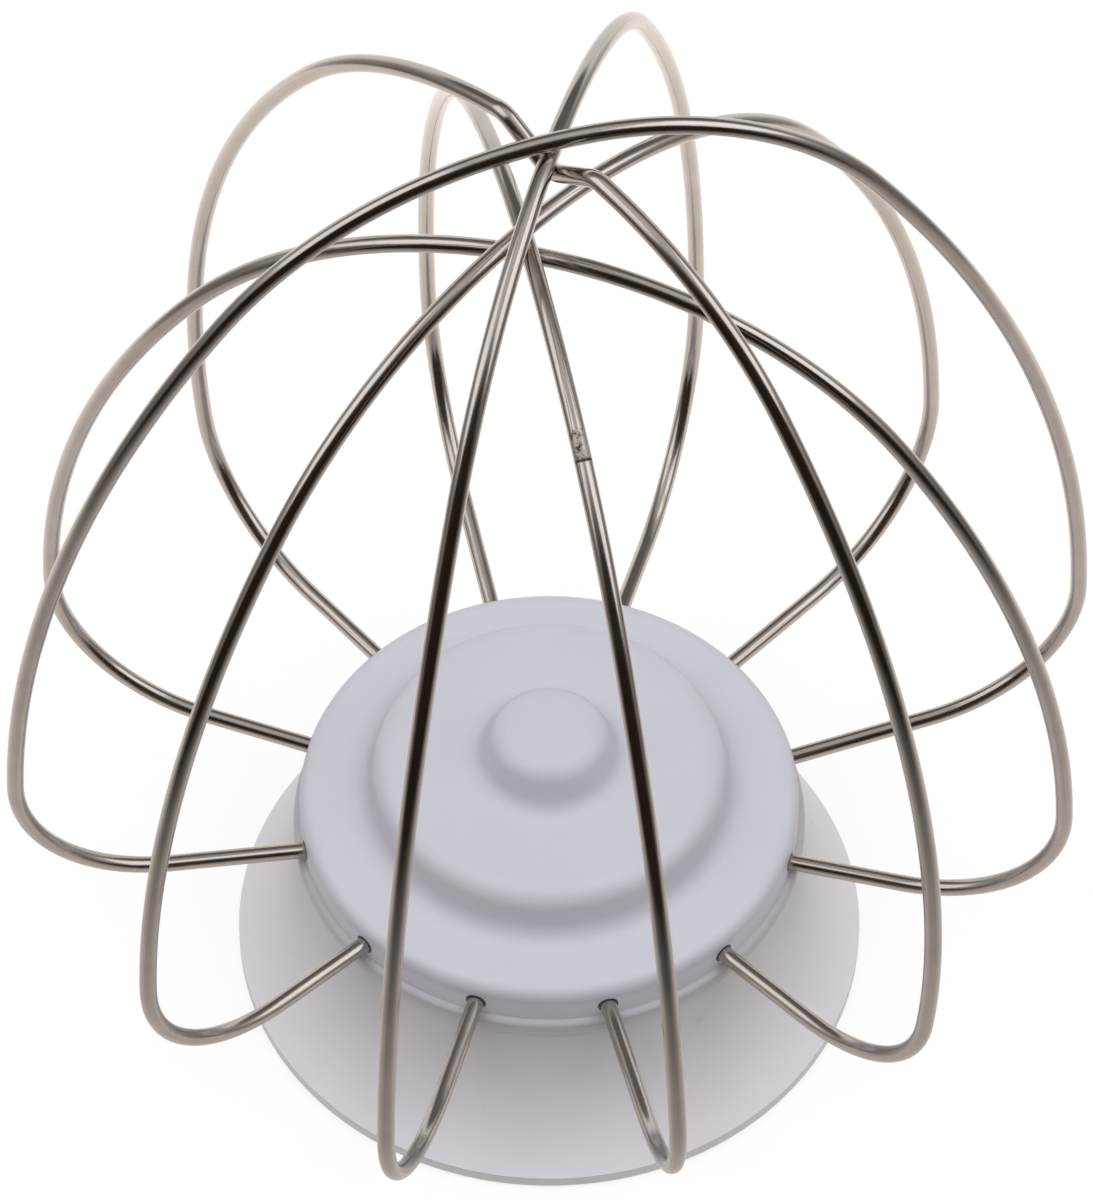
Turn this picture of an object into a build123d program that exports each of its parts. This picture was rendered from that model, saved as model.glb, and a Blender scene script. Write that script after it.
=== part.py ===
from build123d import *
import math
import os

# Wire whisk for a stand mixer: six bent wire loops in a moulded hub, standing on the hub's rim.
# Millimetres. Z is the whisk's own axis and the floor is z = 0.

# Wire stock
wire_diameter = 1.9

# Hub base, the lower moulding: a flared skirt round the drive socket
seam_height = 22.7
collar_height = 1.9
collar_overhang = 0.8
collar_edge_radius = 0.7
collar_step = 0.25
flare_spread = 7.4
rim_edge = 1.9
rim_chamfer = 0.4
flange_wall = 2.0
web_thickness = 2.2
socket_radius = 6.0
socket_mouth = 3.0
socket_wall = 2.8
socket_headroom = 0.6
pin_slot_width = 3.2
pin_slot_depth = 7.0
rib_count = 6
rib_thickness = 1.6
rib_setback = 5.0

# Hub cap, the upper moulding: a low drum with a plateau and a boss on it
cap_radius = 28.8
cap_height = 4.95
cap_edge_radius = 1.7
ledge_width = 7.5
plateau_height = 6.05
plateau_draft = 1.55
plateau_edge_radius = 2.6
plateau_foot_fillet = 2.8
boss_height = 5.3
boss_radius = 6.1
boss_draft = 2.2
boss_edge_radius = 2.7
boss_foot_fillet = 2.6
cap_wall = 2.6
skirt_wall = 2.7
plateau_wall = 2.1

# Seats of the wires, half in each moulding, and the holes where they leave the cap
hole_margin = 0.55
hole_clearance = 0.25
seat_inset = 1.2
seat_clearance = 0.05
end_clearance = 0.3
clamp_clearance = 0.1
core_clearance = 0.15
exit_bend_radius = 12.0

# Wire cage: rise of each set's topmost wire above the seats, and the point over which the set crosses
first_azimuth = 13.3
outer_rise = 114.55
outer_crossing = (0.0, -2.1)
inner_rise = 100.85
inner_crossing = (-2.4, -1.3)
corner_radius = 19.6
crossing_gap = 0.06

# Direction of a wire, in degrees, where its corner bend ends and where its shoulder begins
outer_bend = (93.3, 126.9)
crimped_bend = (84.8, 128.9)
inner_bend = (93.2, 127.6)

# The crimp that takes one outer loop below the other two
crimp_half_width = 6.6
crimp_lead = 2.6
crimp_slack = 0.05

# How each loop was bent by hand: the reach of its far and near ends, and the shift of its crown
outer_top_reach = (61.8, 60.9)
outer_top_shift = 4.2
outer_middle_reach = (60.4, 61.0)
outer_middle_shift = 1.5
outer_crimped_reach = (58.9, 59.5)
outer_crimped_shift = -4.3
inner_top_reach = (61.6, 59.5)
inner_top_shift = 4.1
inner_middle_reach = (59.9, 61.7)
inner_middle_shift = 0.5
inner_bottom_reach = (59.3, 59.6)
inner_bottom_shift = -1.5

# The loops: place round the hub, level in the set's stack, and the slope, in degrees, at which the ends
# leave the hub
outer_set = dict(rise=outer_rise, crossing=outer_crossing)
inner_set = dict(rise=inner_rise, crossing=inner_crossing)
loop_bends = {
    "outer_loop_top": dict(
        outer_set, place=0, level=0, slope=9.1, bend=outer_bend, reach=outer_top_reach, shift=outer_top_shift
    ),
    "outer_loop_middle": dict(
        outer_set, place=2, level=1, slope=-3.0,
        bend=outer_bend, reach=outer_middle_reach, shift=outer_middle_shift,
    ),
    "outer_loop_crimped": dict(
        outer_set, place=4, level=0, slope=5.4, crimped=True,
        bend=crimped_bend, reach=outer_crimped_reach, shift=outer_crimped_shift,
    ),
    "inner_loop_top": dict(
        inner_set, place=1, level=0, slope=4.4, bend=inner_bend, reach=inner_top_reach, shift=inner_top_shift
    ),
    "inner_loop_middle": dict(
        inner_set, place=3, level=1, slope=11.9,
        bend=inner_bend, reach=inner_middle_reach, shift=inner_middle_shift,
    ),
    "inner_loop_bottom": dict(
        inner_set, place=5, level=2, slope=5.0,
        bend=inner_bend, reach=inner_bottom_reach, shift=inner_bottom_shift,
    ),
}

# Sizes that follow from those above
wire_radius = wire_diameter / 2
stack_step = wire_diameter + crossing_gap
loop_spacing = 180 / len(loop_bends)
seat_count = 2 * len(loop_bends)
seat_height = seam_height + hole_margin + hole_clearance + wire_radius
clamp_top = seat_height + clamp_clearance / 2
clamp_bottom = seat_height - clamp_clearance / 2
cap_top = seam_height + cap_height
plateau_top = cap_top + plateau_height
boss_top = plateau_top + boss_height
plateau_foot_radius = cap_radius - ledge_width
plateau_radius = plateau_foot_radius - plateau_draft
boss_foot_radius = boss_radius + boss_draft
skirt_inner_radius = cap_radius - skirt_wall
land_inner_radius = plateau_radius - plateau_wall
seat_start = land_inner_radius + seat_inset
cap_ceiling = plateau_top - cap_wall
collar_radius = cap_radius + collar_overhang
neck_radius = collar_radius - collar_step
rim_radius = neck_radius + flare_spread
collar_bottom = seam_height - collar_height
web_bottom = collar_bottom - web_thickness
socket_outer_radius = socket_radius + socket_wall
socket_top = cap_ceiling - socket_headroom
socket_end = socket_top - socket_wall

# The valley of the crimp is the tightest bend that clears the wire crossing in it
crossing_angle = math.radians(2 * loop_spacing)
crimp_radius = stack_step / math.sin(crossing_angle) ** 2 + crimp_slack


class Loop:
    """One bent wire, drawn in its own plane: x along the loop, y up, origin on the axis at the seats."""

    def __init__(self, place, level, rise, crossing, bend, shift, reach, slope, crimped=False):
        turn = math.radians(first_azimuth + place * loop_spacing)
        along = Vector(math.cos(turn), math.sin(turn), 0)
        across = Vector(-math.sin(turn), math.cos(turn), 0)
        over = Vector(*crossing, 0)
        top = Vector(0, 0, rise - level * stack_step) + across * over.dot(across)
        self.plane = Plane((0, 0, seat_height), x_dir=along, z_dir=along.cross(top))
        self.cross_at = over.dot(along)
        self.cross_height = top.length
        self.side, self.shoulder = bend
        self.shift = shift
        self.reach = reach
        self.slope = slope
        self.crimped = crimped
        self.crown = self.crown_over_crossing()

    def run(self, end):
        """Straight length from the hub's wall to the corner bend."""
        slope = math.radians(self.slope)
        return (self.reach[end] - cap_radius - corner_radius * (1 - math.sin(slope))) / math.cos(slope)

    def radii(self, end, crown):
        """Radii of the side arc and of the crown arc that bring one half up to the crown."""
        slope, side, shoulder = (math.radians(a) for a in (self.slope, self.side, self.shoulder))
        shift = self.shift * (1, -1)[end]
        out = shift - self.reach[end] + corner_radius * (1 - math.sin(side))
        up = crown - self.run(end) * math.sin(slope) - corner_radius * (math.cos(slope) - math.cos(side))
        side_out = math.sin(shoulder) - math.sin(side)
        side_up = math.cos(side) - math.cos(shoulder)
        crown_out = -math.sin(shoulder)
        crown_up = 1 + math.cos(shoulder)
        scale = side_out * crown_up - crown_out * side_up
        return (out * crown_up - crown_out * up) / scale, (side_out * up - side_up * out) / scale

    def crown_over_crossing(self):
        """Height of the crown that has the wire at its own level over the crossing point."""
        offset = self.cross_at - self.shift
        end = 0 if offset > 0 else 1
        radius = self.radii(end, self.cross_height)[1]
        growth = self.radii(end, self.cross_height + 1)[1] - radius
        root = math.sqrt(radius**2 + (2 * growth - 1) * offset**2)
        return self.cross_height + offset**2 / (radius + root)

    def crimp_angle(self, end):
        """Angle of the crown arc that gives way to the crimp on one half."""
        offset = (self.cross_at - self.shift) * (1, -1)[end]
        radius = self.radii(end, self.crown)[1]
        return math.degrees(math.asin((crimp_half_width + crimp_lead + offset) / radius))

    def half(self, end):
        """Edges of one half, from its seat to the crown. The far half lies towards +x."""
        hand = (1, -1)[end]
        slope = math.radians(self.slope)
        out = Vector(hand * math.cos(slope), math.sin(slope))
        wall = Vector(hand * cap_radius, 0)
        bend_length = exit_bend_radius * math.tan(abs(slope) / 2)
        side_radius, crown_radius = self.radii(end, self.crown)
        crown_turn = 180 - self.shoulder - (self.crimp_angle(end) if self.crimped else 0)
        seat = Line((hand * seat_start, 0), (hand * (cap_radius - bend_length), 0))
        exit_bend = JernArc(seat @ 1, seat % 1, exit_bend_radius, hand * self.slope)
        straight = Line(exit_bend @ 1, wall + out * self.run(end))
        corner = JernArc(straight @ 1, out, corner_radius, hand * (self.side - self.slope))
        flank = JernArc(corner @ 1, corner % 1, side_radius, hand * (self.shoulder - self.side))
        crown = JernArc(flank @ 1, flank % 1, crown_radius, hand * crown_turn)
        return [seat, exit_bend, straight, corner, flank, crown]

    def crimp(self, far_crown, near_crown):
        """Edges of the crimp: over a kink on each side and into a valley two levels down."""
        valley = Vector(self.cross_at, self.cross_height - 2 * stack_step + crimp_radius)
        kinks = []
        legs = []
        for crown, hand in ((far_crown, 1), (near_crown, -1)):
            kink = crown @ 1 + (crown % 1) * crimp_lead
            aim = valley - kink
            dip = math.degrees(math.asin(crimp_radius / aim.length))
            kinks.append(kink)
            legs.append(Axis(kink, aim.rotate(Axis.Z, hand * dip)))
        bottom = legs[0].intersect(legs[1])
        corners = (far_crown @ 1, kinks[0], bottom, kinks[1], near_crown @ 1)
        return FilletPolyline(*corners, radius=crimp_radius).edges()

    def wire(self):
        """The bent wire: a round section swept along straight runs and tangent arcs."""
        far = self.half(0)
        near = self.half(1)
        crimp = self.crimp(far[-1], near[-1]) if self.crimped else []
        path = self.plane.location * Wire([*far, *crimp, *near])
        return sweep(Plane(path @ 0, z_dir=path % 0) * Circle(wire_radius), path=path)


def wire_seats(start, clearance):
    """Round cutters for all wire ends, from a radius outwards past the hub's wall."""
    cutter = Rot(0, 90, 0) * Cylinder(
        wire_radius + clearance, collar_radius - start, align=(Align.CENTER, Align.CENTER, Align.MIN)
    )
    seat = Pos(start, 0, seat_height) * cutter
    return [Rot(0, 0, first_azimuth + i * loop_spacing) * seat for i in range(seat_count)]


def hub_cap():
    """Upper moulding: a skirt with the wire holes, a stepped top, and a land that clamps the wires."""
    steps = [plateau_foot_fillet, plateau_edge_radius, boss_foot_fillet, boss_edge_radius]
    outside = FilletPolyline(
        (cap_radius, seam_height),
        (cap_radius, cap_top),
        (plateau_foot_radius, cap_top),
        (plateau_radius, plateau_top),
        (boss_foot_radius, plateau_top),
        (boss_radius, boss_top),
        (0, boss_top),
        radius=[cap_edge_radius, *steps],
    )
    inside = Polyline(
        (0, boss_top),
        (0, cap_ceiling),
        (land_inner_radius, cap_ceiling),
        (land_inner_radius, clamp_top),
        (skirt_inner_radius, clamp_top),
        (skirt_inner_radius, seam_height),
        (cap_radius, seam_height),
    )
    section = Plane.XZ * make_face([*outside.edges(), *inside.edges()])
    seats = wire_seats(seat_start - end_clearance, seat_clearance)
    holes = wire_seats(skirt_inner_radius, hole_clearance)
    return revolve(section, Axis.Z) - [*seats, *holes]


def flare(depth, low, high):
    """Arc of the flared skirt's section between two heights, at a depth under its outer surface."""
    drop = collar_bottom - rim_edge
    radius = (flare_spread**2 + drop**2) / (2 * flare_spread)
    centre = neck_radius + radius
    points = []
    for height in (low, (low + high) / 2, high):
        points.append((centre - math.sqrt((radius + depth) ** 2 - (collar_bottom - height) ** 2), height))
    return ThreePointArc(*points)


def ribs():
    """Radial ribs under the web, from the socket's wall to the skirt's."""
    low = socket_mouth + rib_setback
    skirt = flare(flange_wall / 2, low, web_bottom)
    inner_radius = socket_radius + socket_wall / 2
    top = web_bottom + web_thickness / 2
    edge = Polyline(skirt @ 1, ((skirt @ 1).X, top), (inner_radius, top), (inner_radius, low), skirt @ 0)
    rib = extrude(Plane.XZ * make_face([skirt, *edge.edges()]), rib_thickness / 2, both=True)
    spacing = 360 / rib_count
    return [Rot(0, 0, (i + 0.5) * spacing) * rib for i in range(rib_count)]


def hub_base():
    """Lower moulding: flared skirt, collar, grooved core under the wires, and the drive socket."""
    core_radius = skirt_inner_radius - core_clearance
    outside = flare(0, rim_edge, collar_bottom)
    inside = flare(flange_wall, rim_edge, web_bottom)
    collar_top = seam_height - collar_edge_radius
    collar = Polyline(outside @ 1, (collar_radius, collar_bottom), (collar_radius, collar_top))
    collar_edge = JernArc(collar @ 1, collar % 1, collar_edge_radius, 90)
    profile = Polyline(
        collar_edge @ 1,
        (core_radius, seam_height),
        (core_radius, clamp_bottom),
        (land_inner_radius, clamp_bottom),
        (land_inner_radius, collar_bottom),
        (socket_outer_radius, collar_bottom),
        (socket_outer_radius, socket_top),
        (0, socket_top),
        (0, socket_end),
        (socket_radius, socket_end),
        (socket_radius, socket_mouth),
        (socket_outer_radius, socket_mouth),
        (socket_outer_radius, web_bottom),
        inside @ 1,
    )
    rim = Polyline(
        inside @ 0,
        ((inside @ 0).X, 0),
        (rim_radius - rim_chamfer, 0),
        (rim_radius, rim_chamfer),
        outside @ 0,
    )
    edges = [outside, *collar.edges(), collar_edge, *profile.edges(), inside, *rim.edges()]
    section = Plane.XZ * make_face(edges)
    pin_slot = Pos(0, 0, socket_mouth) * Box(
        2 * socket_outer_radius,
        pin_slot_width,
        pin_slot_depth,
        align=(Align.CENTER, Align.CENTER, Align.MIN),
    )
    seats = wire_seats(seat_start - end_clearance, seat_clearance)
    return revolve(section, Axis.Z) + ribs() - [pin_slot, *seats]


os.makedirs("parts", exist_ok=True)
export_step(hub_cap(), "parts/hub_cap.step")
export_step(hub_base(), "parts/hub_base.step")
for name, bends in loop_bends.items():
    export_step(Loop(**bends).wire(), f"parts/{name}.step")
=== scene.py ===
import bmesh
import bpy
import math
from mathutils import Matrix, Vector
from mathutils.geometry import intersect_line_line


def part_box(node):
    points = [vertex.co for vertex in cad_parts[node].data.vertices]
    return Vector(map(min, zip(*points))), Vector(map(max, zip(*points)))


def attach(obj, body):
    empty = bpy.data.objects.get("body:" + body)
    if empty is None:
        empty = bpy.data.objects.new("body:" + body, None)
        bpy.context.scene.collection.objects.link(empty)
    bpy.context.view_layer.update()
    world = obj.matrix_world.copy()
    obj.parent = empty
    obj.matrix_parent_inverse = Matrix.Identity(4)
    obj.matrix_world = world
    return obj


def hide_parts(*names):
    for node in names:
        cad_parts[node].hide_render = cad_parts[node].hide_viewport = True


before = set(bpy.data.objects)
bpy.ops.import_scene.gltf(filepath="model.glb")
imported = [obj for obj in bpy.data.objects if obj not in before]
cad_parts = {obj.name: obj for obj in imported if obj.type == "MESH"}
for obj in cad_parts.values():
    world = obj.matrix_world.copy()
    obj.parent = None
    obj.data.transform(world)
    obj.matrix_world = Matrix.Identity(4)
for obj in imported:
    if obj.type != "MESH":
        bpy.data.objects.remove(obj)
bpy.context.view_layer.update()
scene = bpy.context.scene
mm = 0.001
print("frame loaded:", len(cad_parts), "nodes")


class Socket:
    # an output socket, or just its tree, so that shader maths reads as plain expressions
    def __init__(self, tree, link=None):
        self.tree = tree
        self.link = link

    def node(self, kind, settings, sockets, output=0):
        made = self.tree.nodes.new(kind)
        for name, value in settings.items():
            setattr(made, name, value)
        for name, value in sockets.items():
            if isinstance(value, Socket):
                self.tree.links.new(value.link, made.inputs[name])
            else:
                made.inputs[name].default_value = value
        return Socket(self.tree, made.outputs[output] if made.outputs else None)

    def math(self, operation, *others):
        return self.node("ShaderNodeMath", {"operation": operation}, dict(enumerate((self, *others))))

    def __add__(self, other):
        return self.math("ADD", other)

    def __sub__(self, other):
        return self.math("SUBTRACT", other)

    def __rsub__(self, other):
        return self.node("ShaderNodeMath", {"operation": "SUBTRACT"}, {0: other, 1: self})

    def __mul__(self, other):
        return self.math("MULTIPLY", other)

    def __pow__(self, other):
        return self.math("POWER", other)

    def __abs__(self):
        return self.math("ABSOLUTE")

    __radd__ = __add__
    __rmul__ = __mul__

    def atLeast(self, other):  # the larger of the two
        return self.math("MAXIMUM", other)

    def ramp(self, low, high):  # soft step from 0 at low to 1 at high
        sockets = {"Value": self, "From Min": low, "From Max": high}
        return self.node("ShaderNodeMapRange", {"interpolation_type": "SMOOTHSTEP"}, sockets)

    def mixTo(self, first, second):  # this value blends two colours
        return self.node("ShaderNodeMix", {"data_type": "RGBA"}, {0: self, 6: first, 7: second}, 2)

    def noise(self, scale, detail, roughness=0.5):
        sockets = {"Vector": self, "Scale": scale, "Detail": detail, "Roughness": roughness}
        return self.node("ShaderNodeTexNoise", {}, sockets)

    def split(self):  # the three parts of a vector
        parts = self.node("ShaderNodeSeparateXYZ", {}, {0: self}).link.node
        return [Socket(self.tree, output) for output in parts.outputs]


def startTree(owner):
    owner.use_nodes = True
    owner.node_tree.nodes.clear()
    return Socket(owner.node_tree)


def colour(red, green, blue):
    return (red, green, blue, 1.0)


def grey(level):
    return colour(level, level, level)


# Camera at the photograph's viewing angle
view = {
    "target": (-0.32 * mm, 0.0, 62.5 * mm),
    "elevation": 51.9,
    "distance": 632.9 * mm,
    "nearest": 10 * mm,
    "lens": 189.1,
    "sensor": 36.0,
}


def makeCamera():
    lift = math.radians(view["elevation"])
    data = bpy.data.cameras.new("camera")
    data.lens = view["lens"]
    data.sensor_width = view["sensor"]
    data.sensor_fit = "HORIZONTAL"
    data.clip_start = view["nearest"]
    camera = bpy.data.objects.new("camera", data)
    back = Vector((0, -math.cos(lift), math.sin(lift)))
    camera.location = Vector(view["target"]) + view["distance"] * back
    camera.rotation_euler = (math.pi / 2 - lift, 0, 0)
    scene.collection.objects.link(camera)
    scene.camera = camera


def seenRays(start):  # 1 on the camera's rays, and 1 on the camera's, the mirrored and the passing rays
    path = start.node("ShaderNodeLightPath", {}, {}).link.node.outputs
    kinds = ("Camera", "Glossy", "Transmission")
    camera, glossy, through = (Socket(start.tree, path["Is %s Ray" % kind]) for kind in kinds)
    return camera, camera.atLeast(glossy).atLeast(through)


# Pale floor that fades out into the room. The wires mirror it dark in front of the whisk and bright behind it
paleFloor = {
    "radius": 420 * mm,
    "corners": 96,
    "fade": (250 * mm, 400 * mm),
    "tone": {"camera": 0.3, "other": 0.1},
    "glow": 0.72,
    "bounce": 0.6,  # share of what is mirrored that lights the plastic too
    "warmth": colour(1.05, 0.975, 0.91),
    "depth": (-240 * mm, 130 * mm),
    "flanks": (180 * mm, 380 * mm),
    "flankDrop": 0.6,
}


def makeFloor():
    bm = bmesh.new()
    bmesh.ops.create_circle(bm, cap_ends=True, segments=paleFloor["corners"], radius=paleFloor["radius"])
    mesh = bpy.data.meshes.new("floor")
    bm.to_mesh(mesh)
    bm.free()
    floor = bpy.data.objects.new("floor", mesh)
    scene.collection.objects.link(floor)
    material = bpy.data.materials.new("pale_floor")
    start = startTree(material)
    x, y, _ = start.node("ShaderNodeTexCoord", {}, {}, "Object").split()
    fade = ((x * x + y * y) ** 0.5).ramp(*paleFloor["fade"])
    camera, seen = seenRays(start)
    tone = camera.mixTo(grey(paleFloor["tone"]["other"]), grey(paleFloor["tone"]["camera"]))
    matte = start.node("ShaderNodeBsdfDiffuse", {}, {"Color": tone})
    flanks = abs(x).ramp(*paleFloor["flanks"]) * paleFloor["flankDrop"]
    depth = y.ramp(*paleFloor["depth"]) * (1 - flanks)
    bounce = paleFloor["bounce"]
    level = camera * paleFloor["glow"] + (1 - camera) * depth * (bounce + seen * (1 - bounce))
    warm = camera.mixTo(paleFloor["warmth"], grey(1))
    glow = start.node("ShaderNodeEmission", {}, {"Color": warm, "Strength": level})
    sheet = start.node("ShaderNodeAddShader", {}, {0: matte, 1: glow})
    clear = start.node("ShaderNodeBsdfTransparent", {}, {})
    surface = start.node("ShaderNodeMixShader", {}, {0: fade, 1: sheet, 2: clear})
    start.node("ShaderNodeOutputMaterial", {}, {"Surface": surface})
    mesh.materials.append(material)


# Room that the camera sees as white. The wires mirror it brown, pale overhead and in a low sweep behind,
# and the plastic gets a soft fill from it, most of it from the top
room = {
    "dark": colour(0.024, 0.016, 0.0105),
    "overhead": 0.65,
    "overheadFront": (-0.7, -0.25),
    "overheadBack": (0.15, 0.55),
    "overheadBackDrop": 0.5,
    "overheadFoot": (-0.1, 0.5),
    "overheadFootShare": 0.3,
    "sweepDepth": (-0.1, 0.5),
    "sweepTop": (0.3, 0.46),
    "sweepFlanks": (0.5, 0.9),
    "sweepFlankDrop": 0.65,
    "fill": {"side": 0.3, "back": 0.4, "front": 0.06, "top": 2.15},
    "fillTurn": (0.3, 0.8),
    "fillTopEdge": (0.7, 0.95),
    "fillLean": 10.0,
}


def makeRoom():
    world = bpy.data.worlds.new("room")
    scene.world = world
    start = startTree(world)
    x, y, z = start.node("ShaderNodeTexCoord", {}, {}, "Generated").split()
    camera, seen = seenRays(start)
    back = y.ramp(*room["overheadBack"]) * room["overheadBackDrop"]
    foot = room["overheadFootShare"]
    rise = foot + z.ramp(*room["overheadFoot"]) * (1 - foot)
    overhead = y.ramp(*room["overheadFront"]) * (room["overhead"] - back) * rise
    flanks = abs(x).ramp(*room["sweepFlanks"]) * room["sweepFlankDrop"]
    sweep = y.ramp(*room["sweepDepth"]) * (1 - z.ramp(*room["sweepTop"])) * (1 - flanks)
    mirrored = overhead.atLeast(sweep).atLeast(camera).mixTo(room["dark"], grey(1))
    fill = room["fill"]
    lean = math.radians(room["fillLean"])
    sides = y.ramp(*room["fillTurn"]).mixTo(grey(fill["side"]), grey(fill["back"]))
    around = (0 - y).ramp(*room["fillTurn"]).mixTo(sides, grey(fill["front"]))
    upward = z * math.cos(lean) - y * math.sin(lean)
    light = upward.ramp(*room["fillTopEdge"]).mixTo(around, grey(fill["top"]))
    surface = start.node("ShaderNodeBackground", {}, {"Color": seen.mixTo(light, mirrored)})
    start.node("ShaderNodeOutputWorld", {}, {"Surface": surface})


# A broad lamp above each side
lampStock = {"tint": (0.985, 0.98, 1.035), "size": (0.76, 0.75)}
sideLamps = {
    "left_lamp": {"power": 1.3, "place": (-0.65, -0.17, 0.75)},
    "right_lamp": {"power": 1.6, "place": (0.65, -0.17, 0.75)},
}


def makeLamps():
    for name, settings in sideLamps.items():
        data = bpy.data.lights.new(name, "AREA")
        data.shape = "RECTANGLE"
        data.energy = settings["power"]
        data.color = lampStock["tint"]
        data.size, data.size_y = lampStock["size"]
        lamp = bpy.data.objects.new(name, data)
        lamp.location = settings["place"]
        lamp.rotation_euler = (-lamp.location).to_track_quat("-Z", "Y").to_euler()
        scene.collection.objects.link(lamp)


scene.view_settings.view_transform = "Standard"
makeCamera()
makeFloor()
makeRoom()
makeLamps()
print("studio set")

# Satin moulded plastic of the hub's two mouldings, with a few faint marks of use
# Painted shading bands are heights over which the tone falls, painting light and shade into the colour:
# a painted lighter rim, painted shade up the skirt, painted shade at the seam under the cap, and a painted
# lighter cap wall below the cap's top
hubPlastic = {
    "hub_cap": {
        "tint": (0.62, 0.62, 0.675),
        "roughness": 0.42,
        "marks": [],
        "tone": 1.14,
        "paintedShadingBands": [(25.0 * mm, 26.6 * mm, 0.14)],
    },
    "hub_base": {
        "tint": (0.765, 0.75, 0.785),
        "roughness": 0.46,
        "marks": [(31.1 * mm, 9.4 * mm, 8.0 * mm), (17.2 * mm, -24.5 * mm, 16.0 * mm)],
        "tone": 1.14,
        "paintedShadingBands": [
            (1.4 * mm, 2.2 * mm, 0.05),
            (2.2 * mm, 19 * mm, 0.13),
            (20.7 * mm, 21.3 * mm, 0.16),
            (21.7 * mm, 22.2 * mm, 0.14),
        ],
    },
}
# What both mouldings share. Cloud, grain and speck are each a noise's scale and detail
plasticGrain = {
    "cloud": (90, 3),
    "cloudTone": 0.04,
    "cloudRoughness": 0.12,
    "grain": (2600, 2),
    "bump": {"Strength": 0.1, "Distance": 0.03 * mm},
    "speck": (900, 1),
    "speckEdge": (0.82, 0.88),
    "markEdge": (0.5 * mm, 1.5 * mm),
    "markRagged": 0.9 * mm,
    "dust": 0.3,
    "dustShade": (0.72, 0.68, 0.62),
}


def mouldedPlastic(name, tint, roughness, marks, tone, paintedShadingBands):
    material = bpy.data.materials.new(name)
    start = startTree(material)
    place = start.node("ShaderNodeTexCoord", {}, {}, "Object")
    cloud = place.noise(*plasticGrain["cloud"])
    grain = place.noise(*plasticGrain["grain"])
    speck = place.noise(*plasticGrain["speck"]).ramp(*plasticGrain["speckEdge"]) * plasticGrain["dust"]
    level = cloud * plasticGrain["cloudTone"] + (tone - plasticGrain["cloudTone"] / 2)
    height = place.split()[2]
    # painted light and shade: the tone falls by drop between each band's low and high heights
    for low, high, drop in paintedShadingBands:
        level = level - height.ramp(low, high) * drop
    # the tint scaled by the painted light and shade of the bands
    paintedShadingTint = start.node("ShaderNodeVectorMath", {"operation": "SCALE"}, {0: tint, "Scale": level})
    dust = colour(*(part * shade for part, shade in zip(tint, plasticGrain["dustShade"])))
    for mark in marks:
        apart = start.node("ShaderNodeVectorMath", {"operation": "DISTANCE"}, {0: place, 1: mark}, "Value")
        edge = (apart + grain * plasticGrain["markRagged"]).ramp(*plasticGrain["markEdge"])
        speck = speck.atLeast((1 - edge) * plasticGrain["dust"])
    bump = start.node("ShaderNodeBump", {}, {**plasticGrain["bump"], "Height": grain})
    rough = cloud * plasticGrain["cloudRoughness"] + (roughness - plasticGrain["cloudRoughness"] / 2)
    sockets = {"Base Color": speck.mixTo(paintedShadingTint, dust), "Roughness": rough, "Normal": bump}
    surface = start.node("ShaderNodeBsdfPrincipled", {}, sockets)
    start.node("ShaderNodeOutputMaterial", {}, {"Surface": surface})
    return material


for node, finish in hubPlastic.items():
    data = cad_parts[node].data
    data.materials.clear()
    data.materials.append(mouldedPlastic(node + "_plastic", **finish))
print("hub finished")

# Bent wire: what all six loops share, and how each of them was bent
wireStock = {
    "radius": 0.95 * mm,
    "sides": 28,
    "longestStep": 1.8 * mm,
    "widestTurn": 3.0,
    "seatHeight": 24.45 * mm,
    "seatStart": 18.85 * mm,
    "hubRadius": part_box("hub_cap")[1].x,
    "exitBend": 12.0 * mm,
    "cornerBend": 19.6 * mm,
    "firstAzimuth": 13.3,
    "spacing": 30.0,
    "stackStep": 1.96 * mm,
    "crimpHalfWidth": 6.6 * mm,
    "crimpLead": 2.6 * mm,
    "crimpSlack": 0.05 * mm,
}
outerSet = {"rise": 114.55 * mm, "crossing": (0.0, -2.1 * mm), "bend": (93.3, 126.9)}
innerSet = {"rise": 100.85 * mm, "crossing": (-2.4 * mm, -1.3 * mm), "bend": (93.2, 127.6)}
wireLoops = {
    "outer_loop_top": {
        **outerSet, "place": 0, "level": 0, "slope": 9.1, "reach": (61.8 * mm, 60.9 * mm), "shift": 4.2 * mm,
    },
    "outer_loop_middle": {
        **outerSet, "place": 2, "level": 1, "slope": -3.0, "reach": (60.4 * mm, 61.0 * mm), "shift": 1.5 * mm,
    },
    "outer_loop_crimped": {
        **outerSet, "place": 4, "level": 0, "slope": 5.4, "reach": (58.9 * mm, 59.5 * mm), "shift": -4.3 * mm,
        "bend": (84.8, 128.9), "crimped": True,
    },
    "inner_loop_top": {
        **innerSet, "place": 1, "level": 0, "slope": 4.4, "reach": (61.6 * mm, 59.5 * mm), "shift": 4.1 * mm,
    },
    "inner_loop_middle": {
        **innerSet, "place": 3, "level": 1, "slope": 11.9, "reach": (59.9 * mm, 61.7 * mm), "shift": 0.5 * mm,
    },
    "inner_loop_bottom": {
        **innerSet, "place": 5, "level": 2, "slope": 5.0, "reach": (59.3 * mm, 59.6 * mm), "shift": -1.5 * mm,
    },
}


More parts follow.
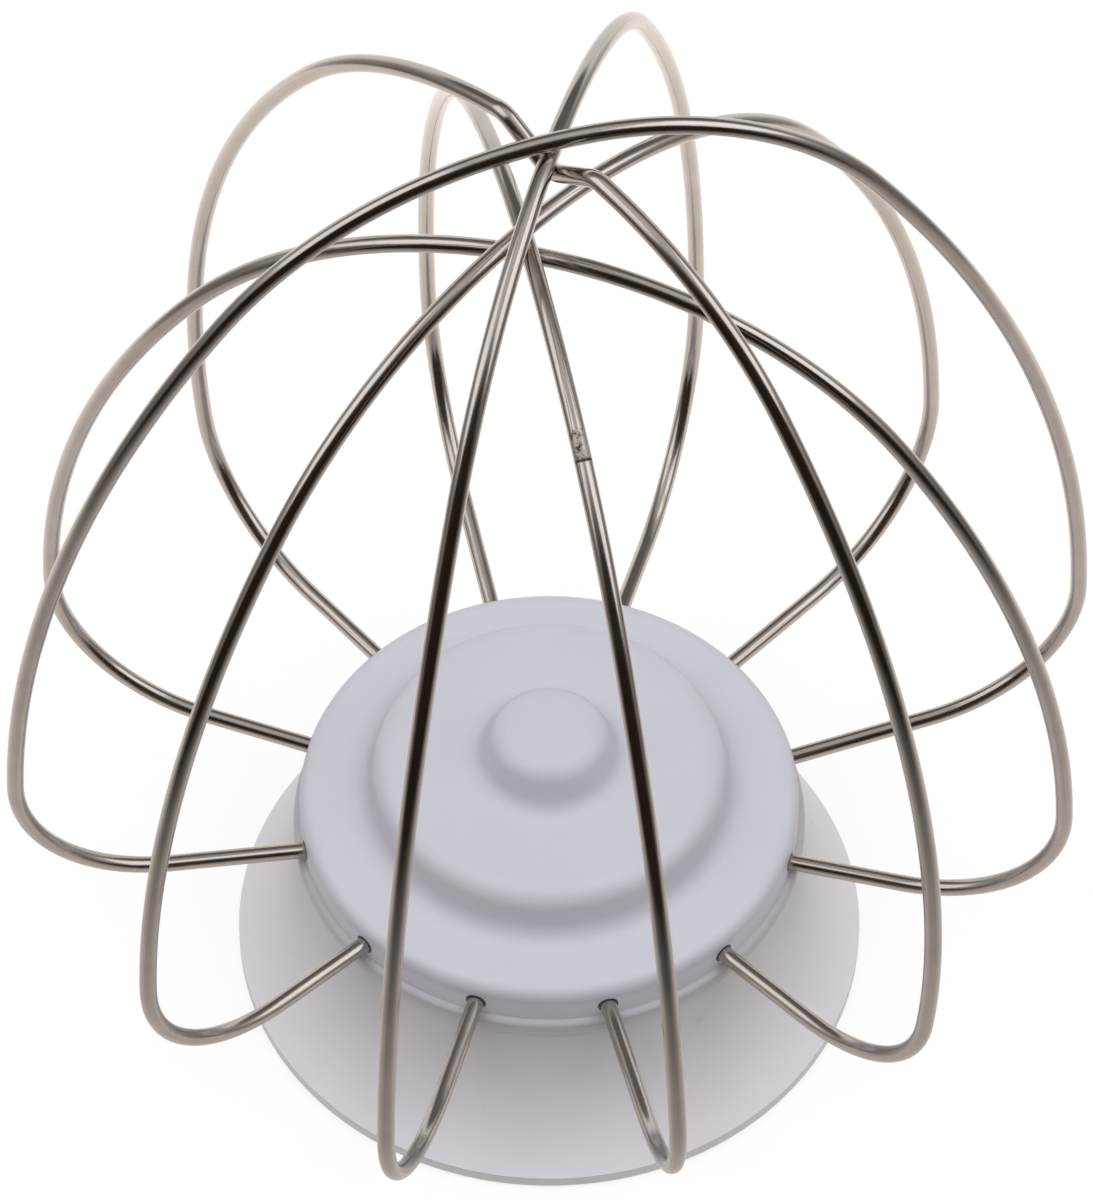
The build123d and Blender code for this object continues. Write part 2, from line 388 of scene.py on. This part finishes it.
def crossingFrame(loop):
    # the loop's plane, with its origin on the axis at the seats, and the crossing point in it
    turn = math.radians(wireStock["firstAzimuth"] + loop["place"] * wireStock["spacing"])
    along = Vector((math.cos(turn), math.sin(turn), 0))
    across = Vector((-math.sin(turn), math.cos(turn), 0))
    over = Vector((*loop["crossing"], 0))
    lift = loop["rise"] - loop["level"] * wireStock["stackStep"]
    top = Vector((0, 0, lift)) + across * over.dot(across)
    up = top.normalized()
    plane = Matrix((along, up, along.cross(up))).transposed().to_4x4()
    plane.translation = (0, 0, wireStock["seatHeight"])
    return plane, Vector((over.dot(along), top.length))


def straightRun(loop, end):
    slope = math.radians(loop["slope"])
    bow = wireStock["cornerBend"] * (1 - math.sin(slope))
    return (loop["reach"][end] - wireStock["hubRadius"] - bow) / math.cos(slope)


def closingRadii(loop, end, crown):
    # radii of the side arc and the crown arc that bring one half up to the crown
    slope, side, shoulder = (math.radians(turn) for turn in (loop["slope"], *loop["bend"]))
    corner = wireStock["cornerBend"]
    out = loop["shift"] * (1, -1)[end] - loop["reach"][end] + corner * (1 - math.sin(side))
    rise = straightRun(loop, end) * math.sin(slope)
    up = crown - rise - corner * (math.cos(slope) - math.cos(side))
    system = Matrix((
        (math.sin(shoulder) - math.sin(side), -math.sin(shoulder)),
        (math.cos(side) - math.cos(shoulder), 1 + math.cos(shoulder)),
    ))
    return system.inverted() @ Vector((out, up))


def crownHeight(loop, crossing):
    # height of the crown that has the wire at its own level over the crossing point
    offset = crossing.x - loop["shift"]
    end = 0 if offset > 0 else 1
    radius = closingRadii(loop, end, crossing.y)[1]
    growth = (closingRadii(loop, end, crossing.y + mm)[1] - radius) / mm
    root = math.sqrt(radius**2 + (2 * growth - 1) * offset**2)
    return crossing.y + offset**2 / (radius + root)


def halfBends(loop, end, crossing):
    # one half from its seat to the crown: (length, 0) is straight, (radius, degrees) is a bend
    slope = loop["slope"]
    side, shoulder = loop["bend"]
    sideRadius, crownRadius = closingRadii(loop, end, crownHeight(loop, crossing))
    exitLength = wireStock["exitBend"] * math.tan(math.radians(abs(slope)) / 2)
    crownTurn = 180 - shoulder
    if loop.get("crimped"):
        offset = (crossing.x - loop["shift"]) * (1, -1)[end]
        reach = wireStock["crimpHalfWidth"] + wireStock["crimpLead"] + offset
        crownTurn -= math.degrees(math.asin(reach / crownRadius))
    return [
        (wireStock["hubRadius"] - exitLength - wireStock["seatStart"], 0),
        (wireStock["exitBend"], slope),
        (straightRun(loop, end) - exitLength, 0),
        (wireStock["cornerBend"], side - slope),
        (sideRadius, shoulder - side),
        (crownRadius, crownTurn),
    ]


def turned(point, heading, size, turn):
    # where a straight or a bend leads, and the centre of the bend
    if not turn:
        return point + size * Vector((math.cos(heading), math.sin(heading))), heading, None
    hand = math.copysign(size, turn)
    centre = point + hand * Vector((-math.sin(heading), math.cos(heading)))
    heading += math.radians(turn)
    return centre - hand * Vector((-math.sin(heading), math.cos(heading))), heading, centre


def crimpBends(bends, crossing):
    # over a kink on each side and into a valley two levels under the crossing
    step = wireStock["stackStep"]
    radius = step / math.sin(math.radians(2 * wireStock["spacing"])) ** 2 + wireStock["crimpSlack"]
    valley = Vector((crossing.x, crossing.y - 2 * step + radius))
    corners = []
    for half, hand in zip(bends, (1, -1)):
        point, heading = Vector((wireStock["seatStart"], 0)), 0.0
        for size, turn in half:
            point, heading, _ = turned(point, heading, size, turn)
        mirror = Vector((hand, 1))
        kink = point + wireStock["crimpLead"] * Vector((math.cos(heading), math.sin(heading)))
        aim = valley - kink * mirror
        aim.rotate(Matrix.Rotation(hand * math.asin(radius / aim.length), 2))
        corners.append((point * mirror, kink * mirror, kink * mirror + aim))
    (start, first, firstAim), (end, last, lastAim) = corners
    bottom = intersect_line_line(*(p.to_3d() for p in (first, firstAim, last, lastAim)))[0].to_2d()
    points = (start, first, bottom, last, end)
    crimp = []
    taken = 0.0
    for before, corner, after in zip(points, points[1:], points[2:]):
        turn = -(corner - before).angle_signed(after - corner)
        take = radius * math.tan(abs(turn) / 2)
        crimp += [((corner - before).length - taken - take, 0), (radius, math.degrees(turn))]
        taken = take
    return crimp + [((end - last).length - taken, 0)]


def mapWire(bm, lengthLayer, sideLayer):
    # once round the wire for u, metres along it for v
    sides = wireStock["sides"]
    wireMap = bm.loops.layers.uv.new("wireMap")
    for face in bm.faces:
        face.smooth = True
        places = [corner.vert[sideLayer] for corner in face.loops]
        wraps = max(places) - min(places) > 1
        for corner, place in zip(face.loops, places):
            around = place + sides if wraps and place == 0 else place
            corner[wireMap].uv = (around / sides, corner.vert[lengthLayer])


def bentWire(name, loop):
    plane, crossing = crossingFrame(loop)
    halves = [halfBends(loop, end, crossing) for end in (0, 1)]
    crimp = crimpBends(halves, crossing) if loop.get("crimped") else []
    bm = bmesh.new()
    lengthLayer = bm.verts.layers.float.new("length")
    sideLayer = bm.verts.layers.int.new("side")
    point, heading, length = Vector((wireStock["seatStart"], 0)), 0.0, 0.0
    facing = Matrix.Translation(point.to_3d()) @ Matrix.Rotation(math.pi / 2, 4, "Y")
    ring = bmesh.ops.create_circle(
        bm, segments=wireStock["sides"], radius=wireStock["radius"], matrix=facing,
    )
    for side, vert in enumerate(ring["verts"]):
        vert[sideLayer] = side
    edges = bm.edges[:]
    for size, turn in halves[0] + crimp + halves[1][::-1]:
        stretch = size * math.radians(abs(turn)) if turn else size
        steps = math.ceil(max(stretch / wireStock["longestStep"], abs(turn) / wireStock["widestTurn"]))
        for _ in range(steps):
            part = turn / steps if turn else 0
            nextPoint, nextHeading, centre = turned(point, heading, size if turn else size / steps, part)
            made = bmesh.ops.extrude_edge_only(bm, edges=edges)["geom"]
            verts = {item for item in made if isinstance(item, bmesh.types.BMVert)}
            grown = [item for item in made if isinstance(item, bmesh.types.BMEdge)]
            edges = [edge for edge in grown if set(edge.verts) <= verts]
            if turn:
                spin = Matrix.Rotation(math.radians(part), 3, "Z")
                bmesh.ops.rotate(bm, cent=centre.to_3d(), matrix=spin, verts=list(verts))
            else:
                bmesh.ops.translate(bm, vec=(nextPoint - point).to_3d(), verts=list(verts))
            length += stretch / steps
            for vert in verts:
                vert[lengthLayer] = length
            point, heading = nextPoint, nextHeading
    miss = (point - Vector((-wireStock["seatStart"], 0))).length
    bmesh.ops.holes_fill(bm, edges=[edge for edge in bm.edges if edge.is_boundary])
    bmesh.ops.transform(bm, matrix=plane, verts=bm.verts)
    bmesh.ops.recalc_face_normals(bm, faces=bm.faces)
    mapWire(bm, lengthLayer, sideLayer)
    mesh = bpy.data.meshes.new(name)
    bm.to_mesh(mesh)
    bm.free()
    print(name, "wire", round(length / mm, 1), "mm long, closes to", round(miss / mm, 4), "mm")
    piece = bpy.data.objects.new(name, mesh)
    scene.collection.objects.link(piece)
    return piece


# Bright drawn steel: streaks along the wire and soft patches
# Streak and patch are each a noise's scale, detail and, for the streaks, roughness
wireFinish = {
    "pale": colour(0.56, 0.517, 0.478),
    "deep": colour(0.465, 0.424, 0.39),
    "toneEdge": (0.3, 0.7),
    "roughness": 0.16,
    "streak": (1.0, 4, 0.6),
    "streakLength": 30 * mm,
    "streaksRound": 5.0,
    "streakShare": 0.6,
    "streakRoughness": 0.1,
    "streakHeight": 0.15,
    "patch": (260, 3),
    "patchRoughness": 0.08,
    "bump": {"Strength": 0.6, "Distance": 0.05 * mm},
}
# The nick in one of the wires: a pitted stretch on one side of it that ends at a ragged step
wireNick = {
    "loop": "inner_loop_middle",
    "along": (182.3 * mm, 185.9 * mm),
    "leadIn": 0.8 * mm,
    "leadOut": 0.2 * mm,
    "side": 0.5,
    "halfWidth": (0.12, 0.2),
    "pits": (1500, 3, 0.7),
    "pitEdge": (0.52, 0.64),
    "pitColour": colour(0.07, 0.055, 0.05),
    "stepBack": 0.1 * mm,
    "stepEdge": (0.05 * mm, 0.2 * mm),
    "stepRagged": 0.3 * mm,
    "raggedness": (900, 1),
    "roughness": 0.25,
    "depth": 1.5,
}


def drawnWire(name, nicked):
    material = bpy.data.materials.new(name)
    start = startTree(material)
    around, along, _ = start.node("ShaderNodeUVMap", {"uv_map": "wireMap"}, {}).split()
    angle = around * (2 * math.pi)
    parts = {
        "X": angle.math("COSINE") * wireFinish["streaksRound"],
        "Y": angle.math("SINE") * wireFinish["streaksRound"],
        "Z": along * (1 / wireFinish["streakLength"]),
    }
    streak = start.node("ShaderNodeCombineXYZ", {}, parts).noise(*wireFinish["streak"])
    place = start.node("ShaderNodeTexCoord", {}, {}, "Object")
    patch = place.noise(*wireFinish["patch"])
    share = wireFinish["streakShare"]
    tone = (streak * share + patch * (1 - share)).ramp(*wireFinish["toneEdge"])
    shade = tone.mixTo(wireFinish["deep"], wireFinish["pale"])
    swing = wireFinish["streakRoughness"] + wireFinish["patchRoughness"]
    rough = streak * wireFinish["streakRoughness"] + patch * wireFinish["patchRoughness"]
    rough = rough + (wireFinish["roughness"] - swing / 2)
    height = streak * wireFinish["streakHeight"]
    if nicked:
        first, last = wireNick["along"]
        across = 1 - abs(around - wireNick["side"]).ramp(*wireNick["halfWidth"])
        tail = 1 - along.ramp(last - wireNick["leadOut"], last)
        wear = along.ramp(first, first + wireNick["leadIn"]) * tail * across
        pits = wear * place.noise(*wireNick["pits"]).ramp(*wireNick["pitEdge"])
        ragged = place.noise(*wireNick["raggedness"]) * wireNick["stepRagged"]
        fromStep = along - (last - wireNick["stepBack"]) + ragged - wireNick["stepRagged"] / 2
        scar = pits.atLeast((1 - abs(fromStep).ramp(*wireNick["stepEdge"])) * across)
        shade = scar.mixTo(shade, wireNick["pitColour"])
        rough = rough + wear * wireNick["roughness"]
        height = height - scar * wireNick["depth"]
    bump = start.node("ShaderNodeBump", {}, {**wireFinish["bump"], "Height": height})
    sockets = {"Base Color": shade, "Metallic": 1.0, "Roughness": rough, "Normal": bump}
    surface = start.node("ShaderNodeBsdfPrincipled", {}, sockets)
    start.node("ShaderNodeOutputMaterial", {}, {"Surface": surface})
    return material


plainWire = drawnWire("drawn_wire", False)
nickedWire = drawnWire("nicked_wire", True)
for node, loop in wireLoops.items():
    piece = bentWire(node + "_wire", loop)
    piece.data.materials.append(nickedWire if node == wireNick["loop"] else plainWire)
    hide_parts(node)
    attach(piece, "root")
print("wires bent")
